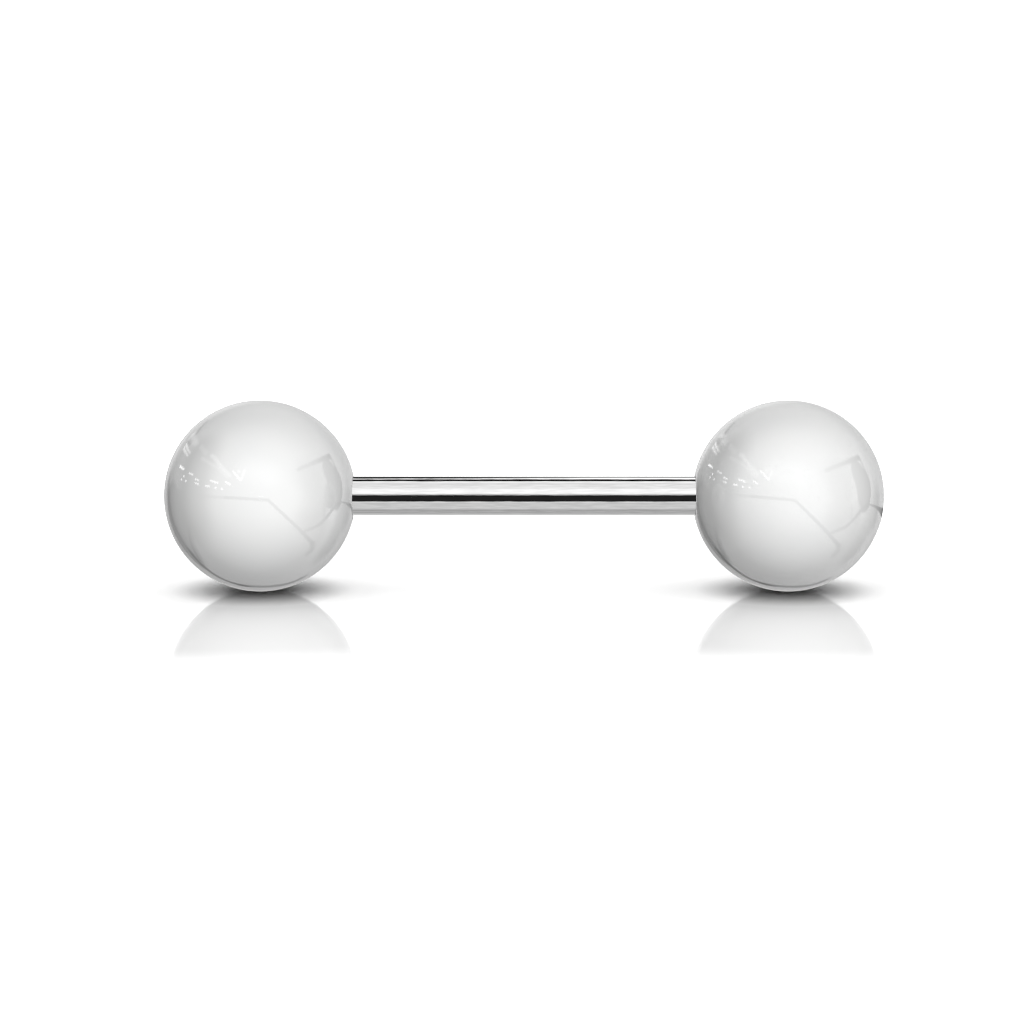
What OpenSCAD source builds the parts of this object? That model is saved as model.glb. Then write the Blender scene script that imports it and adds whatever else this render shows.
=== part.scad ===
// Straight piercing barbell, lying on its two balls.
// The rod runs along X, and the balls rest on the plane z = 0.

/* [Rod] */
// Diameter of the rod, 14 gauge
rod_d = 1.63; // [1.61:0.01:1.8]
// Length that is worn, from the mouth of one ball to the mouth of the other
wear_len = 14.3; // [6:0.1:22]
// How deep each end of the rod sits in its ball's countersink
seat_depth = 0.12; // [0.1:0.01:0.14]

/* [Thread] */
// Outside diameter of the thread on each end
thread_d = 1.55; // [1.5:0.01:1.55]
// Distance between two turns of the thread
thread_pitch = 0.35; // [0.3:0.05:0.4]
// Length of each threaded end, from the rod's shoulder to the tip
thread_len = 3.2; // [2.8:0.1:3.4]
// Length of the tapered tip that starts the thread
tip_len = 0.25; // [0.2:0.05:0.3]

/* [Balls] */
// Diameter of each ball
ball_d = 8; // [8:0.1:10]
// Gap between the rod's shoulder and the countersink's floor
seat_gap = 0.03; // [0.02:0.01:0.05]
// Gap round the rod's end in the countersink
sink_gap = 0.05; // [0.04:0.01:0.08]
// Gap round the thread in the ball's bore
bore_gap = 0.025; // [0.02:0.005:0.03]
// Room in the bore past the rod's tip
bore_room = 0.3; // [0.2:0.1:0.5]

/* [Hidden] */

round_sides = 96;

// The thread has the flat crests and roots of a metric thread
thread_steps = 16;
thread_depth = 0.54 * thread_pitch;
crest_w = thread_pitch / 8;
flank_w = thread_depth * tan(30);
root_r = thread_d / 2 - thread_depth;
// The ridge is sunk this far into the core so that the two are one solid
thread_sunk = 0.06;
sunk_w = thread_sunk * tan(30);
neck_len = 0.25;
thread_run = thread_len - neck_len - tip_len;
thread_rings = floor((thread_run - crest_w - 2 * flank_w) / thread_pitch * thread_steps);

// A ball is measured from its inner pole, the point nearest the rod's middle.
// Its mouth is the circle where the countersink leaves the ball.
ball_r = ball_d / 2;
sink_r = rod_d / 2 + sink_gap;
mouth_h = ball_r - sqrt(pow(ball_r, 2) - pow(sink_r, 2));
sink_floor_h = mouth_h + seat_depth + seat_gap;
bore_r = thread_d / 2 + bore_gap;
bore_floor_h = mouth_h + seat_depth + thread_len + bore_room;
drill_angle = 118;
drill_cone_h = bore_r / tan(drill_angle / 2);

shoulder_x = wear_len / 2 + seat_depth;
ball_pole_x = wear_len / 2 - mouth_h;

// Turns its children so that what stands along Z points along X
module along_x() {
    rotate([0, 90, 0]) children();
}

// Lays its children, drawn for the right end, at either end of the rod
module at_end(side) {
    translate([0, 0, ball_r]) rotate([0, 0, side > 0 ? 0 : 180]) children();
}

// How much of its height the ridge has at a ring, so that it fades at both ends
function ridge_height(ring) = min(1, ring / thread_steps, (thread_rings - ring) / thread_steps);

// One section of the thread's ridge: two sunk corners and two crest corners, as [along, out]
function ridge_section(height) = [
    [0, root_r - thread_sunk],
    [sunk_w + flank_w * height, root_r + thread_depth * height],
    [sunk_w + flank_w * height + crest_w, root_r + thread_depth * height],
    [2 * sunk_w + 2 * flank_w * height + crest_w, root_r - thread_sunk]
];

// The thread's ridge as one helical band, standing along Z from z = 0
module thread_ridge() {
    corners = 4;
    points = [
        for (ring = [0 : thread_rings])
            for (corner = ridge_section(ridge_height(ring)))
                let (turn = ring * 360 / thread_steps)
                    [
                        corner[1] * cos(turn),
                        corner[1] * sin(turn),
                        corner[0] + thread_pitch * ring / thread_steps
                    ]
    ];
    sides = [
        for (ring = [0 : thread_rings - 1])
            for (corner = [0 : corners - 1])
                let (
                    here = ring * corners + corner,
                    beside = ring * corners + (corner + 1) % corners
                )
                    each [
                        [here, beside, here + corners],
                        [beside, beside + corners, here + corners]
                    ]
    ];
    first_end = [3, 2, 1, 0];
    last_end = [for (corner = first_end) thread_rings * corners + 3 - corner];
    polyhedron(points, concat([first_end], sides, [last_end]));
}

// One threaded end, standing along Z from the rod's shoulder
module threaded_end() {
    cylinder(h = thread_len - tip_len, r = root_r, $fn = round_sides);
    translate([0, 0, thread_len - tip_len])
        cylinder(h = tip_len, r1 = root_r, r2 = root_r - tip_len / 2, $fn = round_sides);
    translate([0, 0, neck_len]) thread_ridge();
}

module shaft() {
    color("silver") {
        translate([-shoulder_x, 0, ball_r])
            along_x() cylinder(h = 2 * shoulder_x, d = rod_d, $fn = round_sides);
        for (side = [-1, 1])
            at_end(side) translate([shoulder_x, 0, 0]) along_x() threaded_end();
    }
}

// A drilled ball, standing along Z from its inner pole, with the drill's cone at the bore's floor
module drilled_ball() {
    difference() {
        translate([0, 0, ball_r]) sphere(r = ball_r, $fn = round_sides);
        cylinder(h = sink_floor_h, r = sink_r, $fn = round_sides);
        cylinder(h = bore_floor_h, r = bore_r, $fn = round_sides);
        translate([0, 0, bore_floor_h])
            cylinder(h = drill_cone_h, r1 = bore_r, r2 = 0, $fn = round_sides);
    }
}

module ball(side) {
    color("whitesmoke")
        at_end(side) translate([ball_pole_x, 0, 0]) along_x() drilled_ball();
}

module ball_left() {
    ball(-1);
}

module ball_right() {
    ball(1);
}

shaft();
ball_left();
ball_right();
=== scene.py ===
import bpy
import bmesh
from itertools import pairwise
from math import asin, cos, pi, radians, sin, sqrt, tan
from mathutils import Matrix, Vector


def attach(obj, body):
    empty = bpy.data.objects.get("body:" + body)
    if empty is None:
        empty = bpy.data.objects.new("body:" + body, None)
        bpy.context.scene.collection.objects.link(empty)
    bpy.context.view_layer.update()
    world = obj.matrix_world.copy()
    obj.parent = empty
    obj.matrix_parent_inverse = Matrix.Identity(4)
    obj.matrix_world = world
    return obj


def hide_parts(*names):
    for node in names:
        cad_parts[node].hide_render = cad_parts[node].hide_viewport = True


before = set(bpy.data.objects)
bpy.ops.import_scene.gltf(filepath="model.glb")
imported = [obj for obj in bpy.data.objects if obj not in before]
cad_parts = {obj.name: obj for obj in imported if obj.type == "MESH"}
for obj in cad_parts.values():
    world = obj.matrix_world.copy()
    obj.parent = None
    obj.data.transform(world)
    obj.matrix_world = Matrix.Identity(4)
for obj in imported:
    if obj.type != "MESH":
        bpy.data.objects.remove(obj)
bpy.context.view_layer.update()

mm = 0.001


# Helpers

def linear(hexColour):
    # sRGB hex to the linear colour that the shaders want
    shares = [int(hexColour[k:k + 2], 16) / 255 for k in (1, 3, 5)]
    return tuple(c / 12.92 if c <= 0.04045 else ((c + 0.055) / 1.055) ** 2.4 for c in shares) + (1.0,)


def addNode(tree, kind, settings=None, sockets=None):
    # settings are the node's own options, and sockets its inputs, each given a value, a socket or a node
    node = tree.nodes.new(kind)
    for name, value in (settings or {}).items():
        setattr(node, name, value)
    for key, value in (sockets or {}).items():
        if isinstance(value, bpy.types.Node):
            value = value.outputs[0]
        if isinstance(value, bpy.types.NodeSocket):
            tree.links.new(value, node.inputs[key])
        else:
            node.inputs[key].default_value = value
    return node


def addRamp(tree, value, stops):
    # each stop is a value and the level there, with straight runs between them
    first, last = stops[0][0], stops[-1][0]
    share = addNode(
        tree, "ShaderNodeMapRange", {},
        {"Value": value, "From Min": first, "From Max": last, "To Min": 0.0, "To Max": 1.0},
    )
    ramp = addNode(tree, "ShaderNodeValToRGB", {}, {0: share})
    elements = ramp.color_ramp.elements
    for k, (at, level) in enumerate(stops):
        position = (at - first) / (last - first)
        stop = elements[k] if k < 2 else elements.new(position)
        stop.position = position
        stop.color = (level, level, level, 1)
    return ramp


def newMaterial(name):
    material = bpy.data.materials.new(name)
    material.use_nodes = True
    material.node_tree.nodes.clear()
    return material, material.node_tree


# Materials

# 316L surgical steel, drawn to a rod and then buffed along its length: a mirror with faint streaks along it
steelFinish = {
    "colour": "#DBDBDB",
    "streakColour": "#CDCDCD",
    "roughness": 0.012,
    "roughnessSpread": 0.03,
    "tintSpan": (0.35, 0.65),  # the noise's levels between which the tint and the roughness change
    "roughSpan": (0.3, 0.7),
    "streakWidth": 0.08 * mm,  # what buffing leaves, drawn coarser than it is so that it shows
    "streakLength": 0.8 * mm,
    "streakDepth": 0.002 * mm,
    "waveLength": 2.6 * mm,  # how far the drawn rod runs between slow waves
    "waveDepth": 0.003 * mm,
}


def makeSteel(name, finish, cut=0.0):
    material, tree = newMaterial(name)
    place = addNode(tree, "ShaderNodeTexCoord").outputs["Object"]
    along, across = 1 / finish["streakLength"], 1 / finish["streakWidth"]
    streaks = addNode(tree, "ShaderNodeMapping", {}, {"Vector": place, "Scale": (along, across, across)})
    buffing = addNode(tree, "ShaderNodeTexNoise", {}, {"Vector": streaks, "Scale": 1.0, "Detail": 3.0})
    waves = addNode(
        tree, "ShaderNodeTexNoise", {},
        {"Vector": place, "Scale": 1 / finish["waveLength"], "Detail": 1.0},
    )
    slow = addNode(
        tree, "ShaderNodeBump", {},
        {"Strength": 1.0, "Distance": finish["waveDepth"], "Height": waves},
    )
    fine = addNode(
        tree, "ShaderNodeBump", {},
        {"Strength": 1.0, "Distance": finish["streakDepth"], "Height": buffing, "Normal": slow},
    )
    grain = addNode(
        tree, "ShaderNodeMapRange", {},
        {"Value": buffing, "From Min": finish["tintSpan"][0], "From Max": finish["tintSpan"][1],
         "To Min": 0.0, "To Max": 1.0},
    )
    rough = addNode(
        tree, "ShaderNodeMapRange", {},
        {"Value": buffing, "From Min": finish["roughSpan"][0], "From Max": finish["roughSpan"][1],
         "To Min": finish["roughness"] + cut,
         "To Max": finish["roughness"] + finish["roughnessSpread"] + cut},
    )
    tint = addNode(
        tree, "ShaderNodeMix", {"data_type": "RGBA"},
        {0: grain, 6: linear(finish["colour"]), 7: linear(finish["streakColour"])},
    )
    shader = addNode(
        tree, "ShaderNodeBsdfPrincipled", {},
        {"Base Color": tint.outputs[2], "Metallic": 1.0, "Roughness": rough, "Normal": fine},
    )
    addNode(tree, "ShaderNodeOutputMaterial", {}, {"Surface": shader})
    return material


# Opaque white acrylic (PMMA), moulded and tumble polished: a hard clear gloss over an even white
acrylicFinish = {
    "colour": "#EDEDEC",
    "shadeColour": "#E7E8E8",  # where the pigment lies a little thinner
    "roughness": 0.03,
    "roughnessSpread": 0.03,
    "ior": 1.49,
    "cloudSize": 2.5 * mm,
    "rippleSize": 1.6 * mm,  # the slight unevenness that tumbling leaves
    "rippleDepth": 0.0006 * mm,
    "scuffSize": 0.12 * mm,
    "scuffSpan": (0.45, 0.75),  # the noise's levels between which the roughness changes
}


def makeAcrylic(name, finish):
    material, tree = newMaterial(name)
    place = addNode(tree, "ShaderNodeTexCoord").outputs["Object"]
    clouds = addNode(
        tree, "ShaderNodeTexNoise", {},
        {"Vector": place, "Scale": 1 / finish["cloudSize"], "Detail": 2.0},
    )
    tint = addNode(
        tree, "ShaderNodeMix", {"data_type": "RGBA"},
        {0: clouds, 6: linear(finish["colour"]), 7: linear(finish["shadeColour"])},
    )
    ripples = addNode(
        tree, "ShaderNodeTexNoise", {},
        {"Vector": place, "Scale": 1 / finish["rippleSize"], "Detail": 1.0},
    )
    uneven = addNode(
        tree, "ShaderNodeBump", {},
        {"Strength": 1.0, "Distance": finish["rippleDepth"], "Height": ripples},
    )
    scuffs = addNode(
        tree, "ShaderNodeTexNoise", {},
        {"Vector": place, "Scale": 1 / finish["scuffSize"], "Detail": 4.0},
    )
    rough = addNode(
        tree, "ShaderNodeMapRange", {},
        {"Value": scuffs, "From Min": finish["scuffSpan"][0], "From Max": finish["scuffSpan"][1],
         "To Min": finish["roughness"], "To Max": finish["roughness"] + finish["roughnessSpread"]},
    )
    shader = addNode(
        tree, "ShaderNodeBsdfPrincipled", {},
        {"Base Color": tint.outputs[2], "Roughness": rough, "IOR": finish["ior"], "Normal": uneven},
    )
    addNode(tree, "ShaderNodeOutputMaterial", {}, {"Surface": shader})
    return material


polishedSteel = makeSteel("polishedSteel", steelFinish)
cutSteel = makeSteel("cutThreadSteel", steelFinish, cut=0.12)  # the cut thread isn't buffed
whiteAcrylic = makeAcrylic("whiteAcrylic", acrylicFinish)
print("materials made")


# Sizes that the rod and the balls share

sides = 128  # round every turned surface
ballRadius = 4.0 * mm
ballSkin = 3.9996 * mm  # a hair inside, so that the faceted solid's box holds it
rodRadius = 0.815 * mm
wearLength = 14.3 * mm
seatDepth = 0.12 * mm
shoulderX = wearLength / 2 + seatDepth

ballX = 11.055 * mm  # the balls' middles lie this far from the rod's
slideOff = 25 * mm  # how far a ball slides off

mergeDistance = 0.001 * mm  # points nearer than this become one
edgeGuard = 0.02 * mm  # a ring this near to a sharp edge keeps the shading beside it even
filletSteps = 3  # faces that round an edge


# Thread: one band of a turned surface whose radius rises and falls along a helix

def threadTree():
    tree = bpy.data.node_groups.new("screwThread", "GeometryNodeTree")
    tree.is_modifier = True
    panel = tree.interface
    panel.new_socket("Geometry", in_out="INPUT", socket_type="NodeSocketGeometry")
    for name, kind in (
        ("Sides", "NodeSocketInt"), ("Rows", "NodeSocketInt"),
        ("Length", "NodeSocketFloat"), ("Pitch", "NodeSocketFloat"),
        ("Base Radius", "NodeSocketFloat"), ("Crest Radius", "NodeSocketFloat"),
        ("First Turn", "NodeSocketFloat"), ("Last Turn", "NodeSocketFloat"),
        ("Tip Length", "NodeSocketFloat"), ("Tip Radius", "NodeSocketFloat"),
        ("Material", "NodeSocketMaterial"),
    ):
        panel.new_socket(name, in_out="INPUT", socket_type=kind)
    panel.new_socket("Geometry", in_out="OUTPUT", socket_type="NodeSocketGeometry")
    given = addNode(tree, "NodeGroupInput").outputs

    vertsRound = addNode(tree, "ShaderNodeMath", {"operation": "ADD"}, {0: given["Sides"], 1: 1.0})
    grid = addNode(
        tree, "GeometryNodeMeshGrid", {},
        {"Size X": 1.0, "Size Y": 1.0, "Vertices X": given["Rows"], "Vertices Y": vertsRound},
    )
    spot = addNode(tree, "ShaderNodeSeparateXYZ", {}, {0: addNode(tree, "GeometryNodeInputPosition")})
    share = addNode(tree, "ShaderNodeMath", {"operation": "ADD"}, {0: spot, 1: 0.5})
    turn = addNode(tree, "ShaderNodeMath", {"operation": "ADD"}, {0: spot.outputs[1], 1: 0.5})
    along = addNode(tree, "ShaderNodeMath", {"operation": "MULTIPLY"}, {0: share, 1: given["Length"]})

    # where the point lies between two crests: 0.5 is a crest, 0 and 1 are roots
    pitches = addNode(tree, "ShaderNodeMath", {"operation": "DIVIDE"}, {0: along, 1: given["Pitch"]})
    wound = addNode(tree, "ShaderNodeMath", {"operation": "SUBTRACT"}, {0: pitches, 1: turn})
    saw = addNode(tree, "ShaderNodeMath", {"operation": "FRACT"}, {0: wound})
    offCrest = addNode(tree, "ShaderNodeMath", {"operation": "SUBTRACT"}, {0: saw, 1: 0.5})
    apart = addNode(tree, "ShaderNodeMath", {"operation": "ABSOLUTE"}, {0: offCrest})
    flatTo, rootFrom = 0.05, 0.4  # in pitches from the crest's middle
    ridge = addNode(
        tree, "ShaderNodeMapRange", {"interpolation_type": "SMOOTHSTEP"},
        {"Value": apart, "From Min": flatTo, "From Max": rootFrom, "To Min": 1.0, "To Max": 0.0},
    )

    # the ridge grows over the first turn and fades over the last
    sinceFirst = addNode(
        tree, "ShaderNodeMath", {"operation": "SUBTRACT"},
        {0: along, 1: given["First Turn"]},
    )
    grow = addNode(
        tree, "ShaderNodeMath", {"operation": "DIVIDE", "use_clamp": True},
        {0: sinceFirst, 1: given["Pitch"]},
    )
    toEnd = addNode(tree, "ShaderNodeMath", {"operation": "SUBTRACT"}, {0: given["Length"], 1: along})
    toLast = addNode(tree, "ShaderNodeMath", {"operation": "SUBTRACT"}, {0: toEnd, 1: given["Last Turn"]})
    fade = addNode(
        tree, "ShaderNodeMath", {"operation": "DIVIDE", "use_clamp": True},
        {0: toLast, 1: given["Pitch"]},
    )
    grown = addNode(tree, "ShaderNodeMath", {"operation": "MULTIPLY"}, {0: ridge, 1: grow})
    height = addNode(tree, "ShaderNodeMath", {"operation": "MULTIPLY"}, {0: grown, 1: fade})
    depth = addNode(
        tree, "ShaderNodeMath", {"operation": "SUBTRACT"},
        {0: given["Crest Radius"], 1: given["Base Radius"]},
    )
    radius = addNode(
        tree, "ShaderNodeMath", {"operation": "MULTIPLY_ADD"},
        {0: depth, 1: height, 2: given["Base Radius"]},
    )

    # the tip's bevel cuts the end down to its own radius
    tipStart = addNode(
        tree, "ShaderNodeMath", {"operation": "SUBTRACT"},
        {0: given["Length"], 1: given["Tip Length"]},
    )
    bevel = addNode(
        tree, "ShaderNodeMapRange", {},
        {"Value": along, "From Min": tipStart, "From Max": given["Length"],
         "To Min": given["Base Radius"], "To Max": given["Tip Radius"]},
    )
    pastTip = addNode(tree, "ShaderNodeMath", {"operation": "GREATER_THAN"}, {0: along, 1: tipStart})
    reach = addNode(tree, "ShaderNodeMix", {"data_type": "FLOAT"}, {0: pastTip, 2: radius, 3: bevel})

    angle = addNode(tree, "ShaderNodeMath", {"operation": "MULTIPLY"}, {0: turn, 1: 2 * pi})
    cosine = addNode(tree, "ShaderNodeMath", {"operation": "COSINE"}, {0: angle})
    sine = addNode(tree, "ShaderNodeMath", {"operation": "SINE"}, {0: angle})
    outY = addNode(tree, "ShaderNodeMath", {"operation": "MULTIPLY"}, {0: cosine, 1: reach})
    outZ = addNode(tree, "ShaderNodeMath", {"operation": "MULTIPLY"}, {0: sine, 1: reach})
    place = addNode(tree, "ShaderNodeCombineXYZ", {}, {0: along, 1: outY, 2: outZ})
    wrapped = addNode(
        tree, "GeometryNodeSetPosition", {},
        {"Geometry": grid.outputs["Mesh"], "Position": place},
    )
    closed = addNode(
        tree, "GeometryNodeMergeByDistance", {},
        {"Geometry": wrapped, "Distance": mergeDistance},
    )
    smooth = addNode(tree, "GeometryNodeSetShadeSmooth", {}, {"Geometry": closed})
    real = addNode(tree, "GeometryNodeRealizeInstances", {}, {"Geometry": smooth})
    dressed = addNode(
        tree, "GeometryNodeSetMaterial", {},
        {"Geometry": real, "Material": given["Material"]},
    )
    addNode(tree, "NodeGroupOutput", {}, {0: dressed})
    return tree


screwThread = threadTree()


def threadMesh(name, values):
    # runs the tree once with these values and hands back its plain mesh
    holder = bpy.data.objects.new(name, bpy.data.meshes.new(name))
    bpy.context.scene.collection.objects.link(holder)
    modifier = holder.modifiers.new("thread", "NODES")
    modifier.node_group = screwThread
    for item in screwThread.interface.items_tree:
        if item.in_out == "INPUT" and item.name in values:
            modifier[item.identifier] = values[item.name]
    evaluated = holder.evaluated_get(bpy.context.evaluated_depsgraph_get())
    mesh = bpy.data.meshes.new_from_object(evaluated)
    bpy.data.objects.remove(holder)
    return mesh


# Turned surfaces: rings round X, from a profile of (x, radius)

def fillet(x, radius, roundness, corner):
    # the points of a quarter circle that rounds a square corner, from the first way to the second
    (ax, ar), (bx, br) = corner
    points = []
    for step in range(filletSteps + 1):
        a = pi / 2 * step / filletSteps
        first, second = 1 - sin(a), 1 - cos(a)
        points.append((
            x + roundness * (first * ax + second * bx),
            radius + roundness * (first * ar + second * br),
        ))
    return points


def addRings(work, profile):
    rings = []
    for x, radius in profile:
        if radius <= 0:
            rings.append([work.verts.new((x, 0, 0))])
            continue
        rings.append([
            work.verts.new((x, radius * cos(2 * pi * k / sides), radius * sin(2 * pi * k / sides)))
            for k in range(sides)
        ])
    for here, there in pairwise(rings):
        for k in range(sides):
            nextK = (k + 1) % sides
            corners = [
                here[k % len(here)], here[nextK % len(here)],
                there[nextK % len(there)], there[k % len(there)],
            ]
            face = work.faces.new(list(dict.fromkeys(corners)))
            face.smooth = True


def finishPiece(name, work, materials, sharpAngle=40):
    bmesh.ops.remove_doubles(work, verts=work.verts, dist=mergeDistance)
    bmesh.ops.recalc_face_normals(work, faces=work.faces)
    mesh = bpy.data.meshes.new(name)
    for material in materials:
        mesh.materials.append(material)
    openEdges = sum(1 for edge in work.edges if len(edge.link_faces) != 2)
    volume = work.calc_volume()
    work.to_mesh(mesh)
    work.free()
    mesh.set_sharp_from_angle(angle=radians(sharpAngle))
    piece = bpy.data.objects.new(name, mesh)
    bpy.context.scene.collection.objects.link(piece)
    print(name, "faces", len(mesh.polygons), "open edges", openEdges, "volume mm3", round(volume * 1e9, 1))
    return piece


# Rod: polished between its shoulders, with a neck and a thread on each end

rod = {
    "rings": (0.0, 1.8 * mm, 3.6 * mm, 5.4 * mm, 6.6 * mm),  # along each half of the polished length
    "edgeRound": 0.03 * mm,
    "neckRadius": 0.586 * mm,
    "crestRadius": 0.775 * mm,
    "pitch": 0.35 * mm,
    "threadLength": 3.2 * mm,
    "firstTurn": 0.2 * mm,  # the ridge starts this far from the shoulder
    "tipLength": 0.25 * mm,
    "tipRadius": 0.461 * mm,
    "threadRows": 150,
}


def makeRod(name):
    work = bmesh.new()
    edge = rod["edgeRound"]
    shoulder = fillet(shoulderX, rodRadius, edge, ((-1, 0), (0, -1)))
    half = [(x, rodRadius) for x in rod["rings"] + (shoulderX - edge - edgeGuard,)]
    half += shoulder + [(shoulderX, rod["neckRadius"])]
    profile = [(-x, r) for x, r in reversed(half[1:])] + half
    addRings(work, profile)
    thread = threadMesh("rodThread", {
        "Sides": sides, "Rows": rod["threadRows"], "Length": rod["threadLength"], "Pitch": rod["pitch"],
        "Base Radius": rod["neckRadius"], "Crest Radius": rod["crestRadius"],
        "First Turn": rod["firstTurn"], "Last Turn": rod["tipLength"],
        "Tip Length": rod["tipLength"], "Tip Radius": rod["tipRadius"], "Material": cutSteel,
    })
    for turned in (0, pi):
        vertsBefore, facesBefore = len(work.verts), len(work.faces)
        work.from_mesh(thread)
        work.verts.ensure_lookup_table()
        work.faces.ensure_lookup_table()
        for face in work.faces[facesBefore:]:
            face.material_index = 1
        # turned about Z, not mirrored, so both ends keep a right-hand thread
        moved = Matrix.Rotation(turned, 4, "Z") @ Matrix.Translation((shoulderX, 0, 0))
        bmesh.ops.transform(work, matrix=moved, verts=work.verts[vertsBefore:])
        addTip(work, -1 if turned else 1)
    bmesh.ops.translate(work, vec=(0, 0, ballRadius), verts=work.verts)
    return finishPiece(name, work, [polishedSteel, cutSteel])


def addTip(work, side):
    # the flat end of the tip
    x, radius = side * (shoulderX + rod["threadLength"]), rod["tipRadius"]
    rim = [
        work.verts.new((x, side * radius * cos(2 * pi * k / sides), radius * sin(2 * pi * k / sides)))
        for k in range(sides)
    ]
    middle = work.verts.new((x, 0, 0))
    for k in range(sides):
        face = work.faces.new((rim[k], rim[(k + 1) % sides], middle))
        face.material_index = 1


# Balls: turned from the drill's cone, out through the tapped hole and over the dome to the outer pole

ball = {
    "sinkRadius": 0.865 * mm,
    "seatGap": 0.03 * mm,
    "boreRadius": 0.8 * mm,
    "boreRoom": 0.3 * mm,
    "grooveDepth": 0.09 * mm,
    "drillAngle": 118,
    "mouthRound": 0.05 * mm,
    "mouthSteps": 5,
    "grooveFade": 0.3 * mm,  # the groove ends this far before the bore's floor
    "grooveRows": 130,
    "domeStart": 0.4,  # the dome's first ring, in degrees past the mouth's rounding
    "domeRows": 90,
}


def makeBall(name, side):
    work = bmesh.new()
    mouthH = ballRadius - sqrt(ballRadius ** 2 - ball["sinkRadius"] ** 2)
    sinkFloorH = mouthH + seatDepth + ball["seatGap"]
    boreFloorH = mouthH + seatDepth + rod["threadLength"] + ball["boreRoom"]
    coneH = ball["boreRadius"] / tan(radians(ball["drillAngle"] / 2))

    # the hole beyond the thread, with a ring on the cone close to its edge
    coneEdge = 0.1
    addRings(work, [
        (boreFloorH + coneH, 0),
        (boreFloorH + coneEdge * coneH, (1 - coneEdge) * ball["boreRadius"]),
        (boreFloorH, ball["boreRadius"]),
    ])
    # the countersink and its mouth, rounded where it leaves the ball
    roundness = ball["mouthRound"]
    slope = asin((ball["sinkRadius"] + roundness) / (ballRadius - roundness))
    centreH = ballRadius - (ballRadius - roundness) * cos(slope)
    mouth = []
    for step in range(ball["mouthSteps"] + 1):
        a = pi + (pi / 2 - slope) * step / ball["mouthSteps"]
        mouth.append((centreH + roundness * sin(a), ball["sinkRadius"] + roundness + roundness * cos(a)))
    profile = [
        (sinkFloorH, ball["boreRadius"]),
        (sinkFloorH, ball["sinkRadius"] - edgeGuard),
        (sinkFloorH, ball["sinkRadius"]),
        (sinkFloorH - edgeGuard, ball["sinkRadius"]),
    ] + mouth
    # the dome, measured by the angle from the inner pole
    firstAngle = slope + radians(ball["domeStart"])
    for row in range(ball["domeRows"] + 1):
        a = firstAngle + (pi - firstAngle) * row / ball["domeRows"]
        profile.append((ballRadius - ballSkin * cos(a), ballSkin * sin(a) if row < ball["domeRows"] else 0))
    addRings(work, profile)

    thread = threadMesh("holeThread", {
        "Sides": sides, "Rows": ball["grooveRows"],
        "Length": boreFloorH - sinkFloorH, "Pitch": rod["pitch"],
        "Base Radius": ball["boreRadius"], "Crest Radius": ball["boreRadius"] + ball["grooveDepth"],
        "First Turn": 0.0, "Last Turn": ball["grooveFade"],
        "Tip Length": 0.0, "Tip Radius": ball["boreRadius"], "Material": whiteAcrylic,
    })
    vertsBefore = len(work.verts)
    work.from_mesh(thread)
    work.verts.ensure_lookup_table()
    bmesh.ops.translate(work, vec=(sinkFloorH, 0, 0), verts=work.verts[vertsBefore:])
    for face in work.faces:
        face.material_index = 0  # the thread's own mesh counts another

    poleX = wearLength / 2 - mouthH
    place = Matrix.Translation((0, 0, ballRadius)) @ Matrix.Rotation(0 if side > 0 else pi, 4, "Z")
    bmesh.ops.transform(work, matrix=place @ Matrix.Translation((poleX, 0, 0)), verts=work.verts)
    return finishPiece(name, work, [whiteAcrylic])


steelRod = makeRod("steelRod")
steelRod.visible_glossy = False  # the photo's balls don't mirror the rod
leftBall = makeBall("leftBall", -1)
rightBall = makeBall("rightBall", 1)
print("pieces made")


# Stage: a white acrylic sheet, bright enough that only the shadows and a faint reflection show on it

floorLook = {
    "size": 0.5,  # metres across
    "colour": "#F3F3F3",
    "contactShadeColour": "#A0A0A0",  # painted contact shade: the floor's colour darkens to this where the object all but touches it
    # how far from the object the painted contact shade reaches
    "contactShadeReach": 1.5 * mm,
    "gloss": 0.46,  # share of the floor's light that is reflection, where it is strongest
    "glossColour": "#CBCBCB",
    "roughness": 0.05,
    "contacts": (ballX, ballX + slideOff),  # where a ball touches it, at either end of its slide
    "clearNear": (0.4 * mm, 4.6 * mm),  # the reflection comes in between these distances from a contact
    "clearFar": (12.0 * mm, 18.0 * mm),  # and goes out between these
}


def fromContact(tree, contacts):
    # how far a spot lies from the nearest contact
    place = addNode(tree, "ShaderNodeTexCoord").outputs["Object"]
    eitherSide = addNode(tree, "ShaderNodeVectorMath", {"operation": "ABSOLUTE"}, {0: place})
    nearest = None
    for contactX in contacts:
        apart = addNode(
            tree, "ShaderNodeVectorMath", {"operation": "DISTANCE"},
            {0: eitherSide, 1: (contactX, 0, 0)},
        ).outputs["Value"]
        if nearest is not None:
            apart = addNode(tree, "ShaderNodeMath", {"operation": "MINIMUM"}, {0: nearest, 1: apart})
        nearest = apart
    return nearest


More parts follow.
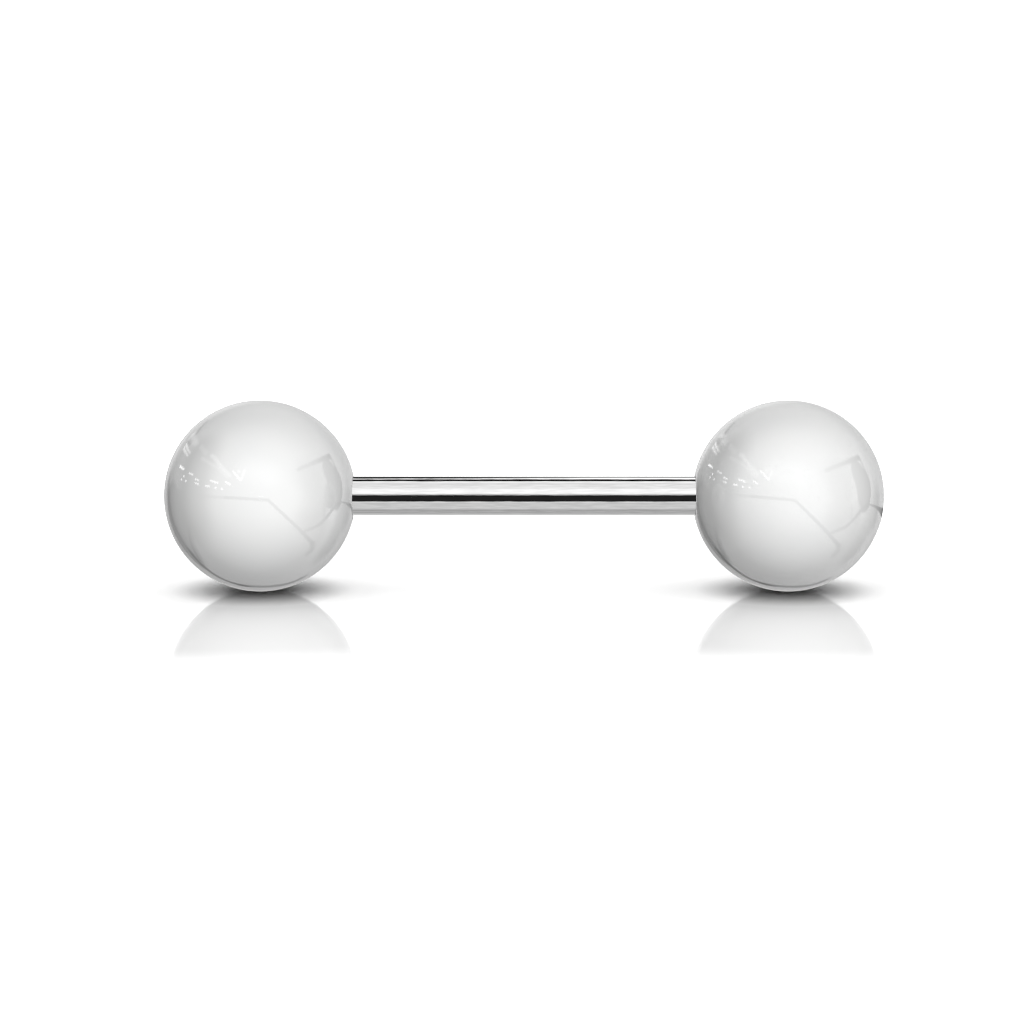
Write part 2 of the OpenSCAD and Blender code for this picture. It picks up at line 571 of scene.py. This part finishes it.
def makeFloor(look):
    material, tree = newMaterial("whiteSheet")
    away = fromContact(tree, look["contacts"])
    near = addNode(
        tree, "ShaderNodeMapRange", {"interpolation_type": "SMOOTHSTEP"},
        {"Value": away, "From Min": look["clearNear"][0], "From Max": look["clearNear"][1],
         "To Min": 0.0, "To Max": look["gloss"]},
    )
    far = addNode(
        tree, "ShaderNodeMapRange", {"interpolation_type": "SMOOTHSTEP"},
        {"Value": away, "From Min": look["clearFar"][0], "From Max": look["clearFar"][1],
         "To Min": 1.0, "To Max": 0.0},
    )
    weight = addNode(tree, "ShaderNodeMath", {"operation": "MULTIPLY"}, {0: near, 1: far})
    # painted contact shade: an ambient occlusion mask darkens the floor's own colour towards the contact
    # shade colour near the object
    openness = addNode(
        tree, "ShaderNodeAmbientOcclusion", {"samples": 8},
        {"Distance": look["contactShadeReach"]},
    )
    shaded = addNode(
        tree, "ShaderNodeMix", {"data_type": "RGBA"},
        {0: openness.outputs["AO"], 6: linear(look["contactShadeColour"]), 7: linear(look["colour"])},
    )
    matt = addNode(tree, "ShaderNodeBsdfDiffuse", {}, {"Color": shaded.outputs[2]})
    gloss = addNode(
        tree, "ShaderNodeBsdfAnisotropic", {},
        {"Color": linear(look["glossColour"]), "Roughness": look["roughness"]},
    )
    both = addNode(tree, "ShaderNodeMixShader", {}, {0: weight, 1: matt, 2: gloss})
    addNode(tree, "ShaderNodeOutputMaterial", {}, {"Surface": both})
    half = look["size"] / 2
    mesh = bpy.data.meshes.new("floor")
    corners = [(-half, -half, 0), (half, -half, 0), (half, half, 0), (-half, half, 0)]
    mesh.from_pydata(corners, [], [(0, 1, 2, 3)])
    mesh.materials.append(material)
    obj = bpy.data.objects.new("floor", mesh)
    bpy.context.scene.collection.objects.link(obj)
    obj.visible_diffuse = False  # the photo's balls take no light from below
    obj.visible_glossy = False  # what they mirror below is painted on their tents
    return obj


floor = makeFloor(floorLook)

# what a light or a wall may light
litSets = {}
for setName, members in (
    ("floor", (floor,)),
    ("rod", (steelRod,)),
    ("leftBall", (leftBall,)),
    ("rightBall", (rightBall,)),
    ("pieces", (steelRod, leftBall, rightBall)),
):
    litSets[setName] = bpy.data.collections.new("lit " + setName)
    for member in members:
        litSets[setName].objects.link(member)


# Lights: each is soft, hides from reflections, and lights either the pieces or the floor

def towards(azimuth, elevation, distance=1.0):
    # azimuth 0 is the camera's side, and 90 is the right
    a, e = radians(azimuth), radians(elevation)
    return Vector((sin(a) * cos(e), -cos(a) * cos(e), sin(e))) * distance


# each stands at an azimuth, an elevation and a distance, and its radiance is what its disc gives off
lights = {
    "ceiling": {"where": (0, 90, 0.42), "size": 4.0, "radiance": 0.62, "lit": "floor"},
    "ceilingMiddle": {"where": (0, 90, 0.41), "size": 1.6, "radiance": 0.75, "lit": "floor"},
    "ceilingCentre": {"where": (0, 90, 0.40), "size": 0.6, "radiance": 1.15, "lit": "floor"},
    "front": {"where": (7, 17, 0.3), "size": 0.16, "radiance": 16.2, "lit": "pieces"},
    "back": {"where": (184, 20, 0.32), "size": 0.16, "radiance": 17.0, "lit": "pieces"},
}


def makeLight(name, look):
    lamp = bpy.data.lights.new(name, "AREA")
    lamp.shape = "DISK"
    lamp.size = look["size"]
    lamp.energy = look["radiance"] * pi * pi * (look["size"] / 2) ** 2
    obj = bpy.data.objects.new(name, lamp)
    bpy.context.scene.collection.objects.link(obj)
    away = towards(*look["where"])
    obj.location = away + Vector((0, 0, ballRadius))
    obj.rotation_euler = away.to_track_quat("Z", "Y").to_euler()
    obj.visible_camera = False
    obj.visible_glossy = False
    obj.light_linking.receiver_collection = litSets[look["lit"]]


for name, look in lights.items():
    makeLight(name, look)


# Camera: level with the table's edge, a little above the balls

view = {
    "elevation": 9.0,
    "distance": 119.3 * mm,
    "aim": (-0.503 * mm, 0, 3.32 * mm),
    "lens": 100,
    "sensor": 36,
    "clip": (0.005, 2.0),
}


def makeCamera(look):
    data = bpy.data.cameras.new("camera")
    data.lens = look["lens"]
    data.sensor_width = look["sensor"]
    data.clip_start, data.clip_end = look["clip"]
    obj = bpy.data.objects.new("camera", data)
    bpy.context.scene.collection.objects.link(obj)
    tilt = radians(look["elevation"])
    away = Vector((0, -cos(tilt), sin(tilt)))
    obj.location = Vector(look["aim"]) + away * look["distance"]
    obj.rotation_euler = away.to_track_quat("Z", "Y").to_euler()
    bpy.context.scene.camera = obj
    return obj.location.copy()


cameraSpot = makeCamera(view)


# Tents: far walls that only reflections see. Each ball has one to itself, so both mirror the same studio.

rodTent = {
    "strength": 1.7,
    # white cloth with black flags between: degrees round the rod's axis, from straight ahead and up
    # over the top, and the share of the strength
    "bands": (
        (-180, 0.50), (-140, 0.50), (-113, 0.34), (-93, 0.35), (-84, 0.30), (-76, 0.44), (-69, 0.525),
        (-55, 0.52), (-38, 0.50), (-35, 0.45), (-30, 0.62), (-26, 0.40), (-22, 0.0), (-15, 0.012),
        (5, 0.012), (10, 0.0), (15, 0.32), (20, 0.68), (26, 0.88), (48, 0.82), (56, 0.70), (68, 0.68),
        (79, 0.69), (86, 0.58), (94, 0.76), (105, 0.70), (109, 0.0), (125, 0.0), (129, 1.0), (142, 1.0),
        (148, 0.24), (180, 0.3),
    ),
    "lean": (0.1, 0.1),
    "marks": (
        # a dark flag behind the left half
        {"lines": (((-160, 16), (-160, 34)),), "full": 17.4, "fades": 18.6, "left": 0.1},
    ),
}

ballTent = {
    "strength": 2.4,
    "bands": (
        (-180, 0.79), (-160, 0.90), (-149, 1.0), (-135, 1.0), (-119, 0.83), (-97, 0.48), (-80, 0.49),
        (-65, 0.57), (-38, 0.72), (-14, 0.97), (9, 1.0), (56, 1.0), (83, 0.91), (105, 0.82), (137, 0.92),
        (152, 0.83), (165, 0.79), (180, 0.79),
    ),
    "lean": (0.35, 0.16),  # the right side is the brighter one, by these below and above the table
    # lines and patches, placed where a ball's face shows them: right and down from its middle, in its
    # radii. Each is full to so many degrees from its line and fades out by so many, and leaves or adds a
    # share of light. A third number at a point is how many degrees wide the line itself is there.
    "marks": (
        # the dark behind the object, and at its two sides
        {"lines": (((1.0, 0.0), (0.9998, 0.0)),), "full": 8, "fades": 85, "left": 0.38},
        {"lines": (((-0.64, -0.36), (-0.68, -0.20), (-0.70, 0.0), (-0.70, 0.16)),),
         "full": 12, "fades": 36, "left": 0.1},
        {"lines": (((0.52, -0.18), (0.57, 0.0), (0.52, 0.20)),), "full": 5, "fades": 30, "left": 0.45},
        {"lines": (((0.90, 0.16), (0.84, 0.25), (0.79, 0.38), (0.72, 0.52)),),
         "full": 5, "fades": 20, "left": 0.55},
        # the table's end at the left, with a crisp edge
        {"lines": ((
            (-0.80, 0.14, 12), (-0.86, 0.27, 20), (-0.835, 0.375, 17), (-0.79, 0.49, 12), (-0.735, 0.59, 7),
        ),), "full": 0, "fades": 4, "left": 0.58},
        {"lines": ((
            (-0.66, 0.08), (-0.72, 0.18), (-0.745, 0.30), (-0.735, 0.45), (-0.69, 0.567), (-0.64, 0.66),
        ),), "full": 0.5, "fades": 2.6, "left": 0.55},
        # the table's front edge and its corner
        {"lines": (((-0.64, -0.01), (-0.37, 0.01)),), "full": 0.6, "fades": 2.6, "left": 0.45},
        {"lines": ((
            (-0.37, 0.01), (-0.14, 0.025), (0.08, 0.043), (0.20, 0.16), (0.32, 0.275), (0.43, 0.385),
            (0.54, 0.51),
        ),), "full": 0.9, "fades": 2.7, "left": 0.0},
        {"lines": (((0.54, 0.51), (0.53, 0.57), (0.49, 0.61)),), "full": 0.8, "fades": 5.0, "left": 0.35},
        {"lines": ((
            (0.44, 0.385), (0.516, 0.351), (0.62, 0.304), (0.68, 0.24), (0.738, 0.17), (0.785, 0.112),
            (0.835, 0.075),
        ),), "full": 0.9, "fades": 2.9, "left": 0.0},
        {"lines": ((
            (0.843, 0.071, 0.2), (0.89, 0.086, 0.3), (0.936, 0.11, 0.5), (0.965, 0.135, 0.6),
            (0.983, 0.18, 0.4),
        ),), "full": 0, "fades": 0.6, "left": 0.05},
        # a grey reflector at the right
        {"lines": (((0.40, -0.273), (0.563, -0.343), (0.633, -0.371), (0.732, -0.41)),),
         "full": 0.7, "fades": 3.4, "left": 0.0},
        {"lines": ((
            (0.695, -0.335, 5), (0.735, -0.24, 10), (0.775, -0.15, 12), (0.795, -0.06, 12),
            (0.805, 0.01, 9),
        ),), "full": 0, "fades": 2.5, "left": 0.12},
        {"lines": ((
            (0.732, -0.41), (0.767, -0.343), (0.808, -0.25), (0.843, -0.168), (0.854, -0.063),
            (0.835, 0.065),
        ),), "full": 0.5, "fades": 2.6, "left": 0.3},
        {"lines": (((0.665, 0.09), (0.67, 0.15), (0.66, 0.22)),), "full": 0.3, "fades": 1.8, "left": 0.4},
        # the table's far edge, seen round the object
        {"lines": ((
            (-0.95, -0.15), (-0.945, 0.0), (-0.931, 0.147), (-0.901, 0.275), (-0.85, 0.391), (-0.72, 0.59),
        ),), "full": 1.2, "fades": 5.5, "left": 0.68},
        {"lines": (((-0.72, 0.59), (-0.555, 0.765), (-0.436, 0.847), (-0.319, 0.899), (-0.20, 0.932)),),
         "full": 0.8, "fades": 5.0, "left": 0.3},
        {"lines": (((-0.20, 0.932), (-0.05, 0.947), (0.10, 0.947), (0.25, 0.93), (0.36, 0.895)),),
         "full": 1.2, "fades": 6.0, "left": 0.45},
        # the cloth's shaded folds
        {"lines": (((-0.65, -0.66), (-0.556, -0.776)), ((-0.735, -0.59), (-0.715, -0.555))),
         "full": 0.5, "fades": 2.6, "left": 0.6},
    ),
}

# what is brighter than the cloth, on a wall of its own: a shader takes only so many marks
glintTent = {
    "strength": 2.4,
    "bands": ((-180, 0.0), (180, 0.0)),
    "lean": (0.0, 0.0),
    "marks": (
        {"lines": (((-0.93, -0.32), (-0.985, 0.0)),), "full": 3, "fades": 13, "glow": 0.13},
        {"lines": (((-0.80, -0.55), (-0.68, -0.70), (-0.52, -0.83)),),
         "full": 5, "fades": 18, "glow": 0.17},
        {"lines": (((0.95, -0.22), (0.89, -0.40)),), "full": 4, "fades": 22, "glow": 0.08},
        # soft light from the front
        {"lines": (((-0.12, -0.27), (0.10, -0.22)),), "full": 2, "fades": 24, "glow": 0.4},
        # the cloth's lit folds
        {"lines": (((-0.703, -0.64), (-0.65, -0.546)), ((-0.609, -0.525), (-0.556, -0.451))),
         "full": 0.5, "fades": 3.4, "glow": 0.3},
        {"lines": (((-0.50, -0.43), (-0.472, -0.409), (-0.40, -0.31), (-0.315, -0.22)),),
         "full": 0.6, "fades": 3.2, "glow": 0.65},
        {"lines": (((-0.60, -0.40), (-0.44, -0.30), (-0.34, -0.20)),),
         "full": 0.4, "fades": 2.6, "glow": 0.35},
        {"lines": (((-0.787, -0.514), (-0.745, -0.43)), ((-0.761, -0.551), (-0.722, -0.456))),
         "full": 0.2, "fades": 1.3, "glow": 0.75},
        {"lines": (((-0.278, -0.257), (-0.205, -0.172)),), "full": 0.4, "fades": 1.9, "glow": 1.8},
        {"lines": (((-0.225, -0.266), (-0.218, -0.255)), ((-0.162, -0.268), (-0.194, -0.178))),
         "full": 0.2, "fades": 2.2, "glow": 0.9},
        # two rows of lamps
        {"lines": (
            ((-0.829, -0.320), (-0.787, -0.289)), ((-0.735, -0.25), (-0.698, -0.231)),
            ((-0.674, -0.189), (-0.635, -0.17)), ((-0.818, -0.186), (-0.814, -0.182)),
            ((-0.792, -0.219), (-0.788, -0.215)), ((-0.776, -0.170), (-0.766, -0.166)),
            ((-0.677, -0.145), (-0.64, -0.132)),
        ), "full": 0.1, "fades": 1.3, "glow": 2.2},
        {"lines": (
            ((-0.515, -0.168), (-0.441, -0.142)), ((-0.357, -0.152), (-0.315, -0.126)),
            ((-0.567, -0.113), (-0.53, -0.11)), ((-0.47, -0.093), (-0.464, -0.091)),
            ((-0.402, -0.082), (-0.396, -0.080)),
        ), "full": 0.3, "fades": 1.7, "glow": 2.2},
    ),
}

# an even wall, which the sheet mirrors round the balls' reflections
sheetTent = {
    "strength": 1.7,
    "bands": ((-180, 1.0), (180, 1.0)),
    "lean": (0.0, 0.0),
    "marks": (),
}


def mirrored(middleX, right, down):
    # the direction that a ball mirrors to the camera from a spot on its disc, given in its radii
    middle = Vector((middleX, 0, ballRadius))
    toBall = middle - cameraSpot
    ahead = toBall.normalized()
    across = ahead.cross(Vector((0, 0, 1))).normalized()
    upwards = across.cross(ahead)
    spread = tan(asin(ballRadius / toBall.length))
    ray = (ahead + spread * (right * across - down * upwards)).normalized()
    nearestOnRay = toBall.dot(ray)
    missed = toBall.length_squared - nearestOnRay ** 2
    hit = cameraSpot + ray * (nearestOnRay - sqrt(max(0.0, ballRadius ** 2 - missed)))
    normal = (hit - middle).normalized()
    return ray - 2 * ray.dot(normal) * normal


def fromLines(tree, way, lines, place):
    # how far a direction lies from the nearest of these lines, less the line's own width there
    nearest = None
    for here, there in (pair for line in lines for pair in pairwise(line)):
        start, end = place(*here[:2]), place(*there[:2])
        run = end - start
        scaled = run / run.length_squared
        along = addNode(tree, "ShaderNodeVectorMath", {"operation": "DOT_PRODUCT"}, {0: way, 1: scaled})
        share = addNode(
            tree, "ShaderNodeMath", {"operation": "SUBTRACT", "use_clamp": True},
            {0: along.outputs["Value"], 1: start.dot(scaled)},
        )
        spot = addNode(
            tree, "ShaderNodeVectorMath", {"operation": "MULTIPLY_ADD"},
            {0: run, 1: share, 2: start},
        )
        onWall = addNode(tree, "ShaderNodeVectorMath", {"operation": "NORMALIZE"}, {0: spot})
        apart = addNode(
            tree, "ShaderNodeVectorMath", {"operation": "DISTANCE"},
            {0: way, 1: onWall},
        ).outputs["Value"]
        if len(here) > 2:
            width = addNode(
                tree, "ShaderNodeMath", {"operation": "MULTIPLY_ADD"},
                {0: share, 1: chord(there[2]) - chord(here[2]), 2: chord(here[2])},
            )
            apart = addNode(tree, "ShaderNodeMath", {"operation": "SUBTRACT"}, {0: apart, 1: width})
        if nearest is not None:
            apart = addNode(tree, "ShaderNodeMath", {"operation": "MINIMUM"}, {0: nearest, 1: apart})
        nearest = apart
    return nearest


def chord(degrees):
    # the straight distance between two directions this far apart
    return 2 * sin(radians(degrees / 2))


def fadeFrom(tree, apart, full, fades, atLine, beyond):
    # one level at the line, easing to another between these degrees from it
    return addNode(
        tree, "ShaderNodeMapRange", {"interpolation_type": "SMOOTHSTEP"},
        {"Value": apart, "From Min": chord(full), "From Max": chord(fades),
         "To Min": atLine, "To Max": beyond},
    )


leanSpan = 0.2  # the lean changes from this far below the table's level to this far above it


def paintTent(tree, way, look, place):
    # how bright the tent is in each direction; place turns a mark's numbers into a direction
    axes = addNode(tree, "ShaderNodeSeparateXYZ", {}, {0: way})
    ahead = addNode(tree, "ShaderNodeMath", {"operation": "MULTIPLY"}, {0: axes.outputs[1], 1: -1.0})
    ring = addNode(tree, "ShaderNodeMath", {"operation": "ARCTAN2"}, {0: axes.outputs[2], 1: ahead})
    around = addNode(tree, "ShaderNodeMath", {"operation": "DEGREES"}, {0: ring})
    bands = addRamp(tree, around, look["bands"])
    below, above = look["lean"]
    lean = addNode(
        tree, "ShaderNodeMapRange", {"interpolation_type": "SMOOTHSTEP"},
        {"Value": axes.outputs[2], "From Min": -leanSpan, "From Max": leanSpan,
         "To Min": below, "To Max": above},
    )
    leaning = addNode(tree, "ShaderNodeMath", {"operation": "MULTIPLY_ADD"}, {0: axes, 1: lean, 2: 1.0})
    level = addNode(tree, "ShaderNodeMath", {"operation": "MULTIPLY"}, {0: bands, 1: leaning})
    for mark in look["marks"]:
        apart = fromLines(tree, way, mark["lines"], place)
        if "left" in mark:
            kept = fadeFrom(tree, apart, mark["full"], mark["fades"], mark["left"], 1.0)
            level = addNode(tree, "ShaderNodeMath", {"operation": "MULTIPLY"}, {0: level, 1: kept})
        else:
            glow = fadeFrom(tree, apart, mark["full"], mark["fades"], mark["glow"], 0.0)
            level = addNode(tree, "ShaderNodeMath", {"operation": "ADD"}, {0: level, 1: glow})
    return level


def makeTent(name, look, radius, place, receivers):
    work = bmesh.new()
    bmesh.ops.create_icosphere(work, subdivisions=4, radius=radius)
    mesh = bpy.data.meshes.new(name)
    work.to_mesh(mesh)
    work.free()
    material, tree = newMaterial(name)
    spot = addNode(tree, "ShaderNodeTexCoord").outputs["Object"]
    way = addNode(tree, "ShaderNodeVectorMath", {"operation": "NORMALIZE"}, {0: spot})
    level = paintTent(tree, way, look, place)
    strength = addNode(tree, "ShaderNodeMath", {"operation": "MULTIPLY"}, {0: level, 1: look["strength"]})
    glow = addNode(tree, "ShaderNodeEmission", {}, {"Color": (1, 1, 1, 1), "Strength": strength})
    clear = addNode(tree, "ShaderNodeBsdfTransparent")
    both = addNode(tree, "ShaderNodeAddShader", {}, {0: clear, 1: glow})
    addNode(tree, "ShaderNodeOutputMaterial", {}, {"Surface": both})
    material.cycles.emission_sampling = "NONE"
    mesh.materials.append(material)
    obj = bpy.data.objects.new(name, mesh)
    bpy.context.scene.collection.objects.link(obj)
    obj.visible_camera = False
    obj.visible_diffuse = False
    obj.visible_transmission = False
    obj.visible_shadow = False
    obj.light_linking.receiver_collection = receivers


def leftPlace(*spot):
    return mirrored(-ballX, *spot)


def rightPlace(*spot):
    return mirrored(ballX, *spot)


# the radii differ, because walls that coincide hide each other
makeTent("rodTent", rodTent, 2.0, towards, litSets["rod"])
makeTent("leftTent", ballTent, 2.05, leftPlace, litSets["leftBall"])
makeTent("leftGlints", glintTent, 2.1, leftPlace, litSets["leftBall"])
makeTent("rightTent", ballTent, 2.15, rightPlace, litSets["rightBall"])
makeTent("rightGlints", glintTent, 2.2, rightPlace, litSets["rightBall"])
makeTent("sheetTent", sheetTent, 2.25, towards, litSets["floor"])


# World: white to the camera, and nearly dark to everything else

studio = {
    "background": 1.6,
    "rest": 0.003,
}


def makeWorld(look):
    world = bpy.data.worlds.new("studio")
    bpy.context.scene.world = world
    world.use_nodes = True
    world.cycles.sampling_method = "NONE"
    tree = world.node_tree
    tree.nodes.clear()
    ray = addNode(tree, "ShaderNodeLightPath").outputs
    strength = addNode(
        tree, "ShaderNodeMapRange", {},
        {"Value": ray["Is Camera Ray"], "To Min": look["rest"], "To Max": look["background"]},
    )
    white = addNode(tree, "ShaderNodeBackground", {}, {"Color": (1, 1, 1, 1), "Strength": strength})
    addNode(tree, "ShaderNodeOutputWorld", {}, {"Surface": white})


makeWorld(studio)
print("stage, lights and tents made")


# Picture

bpy.context.scene.view_settings.view_transform = "Standard"
bpy.context.scene.cycles.filter_width = 1.2  # in pixels: the photo's thin lines are crisp


# What each piece stands for and moves with

for piece, node, slot in (
    (steelRod, "shaft", "polished_steel"),
    (leftBall, "ball_left", "white_acrylic"),
    (rightBall, "ball_right", "white_acrylic"),
):
    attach(piece, node)
    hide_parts(node)

print("pieces placed on their bodies")
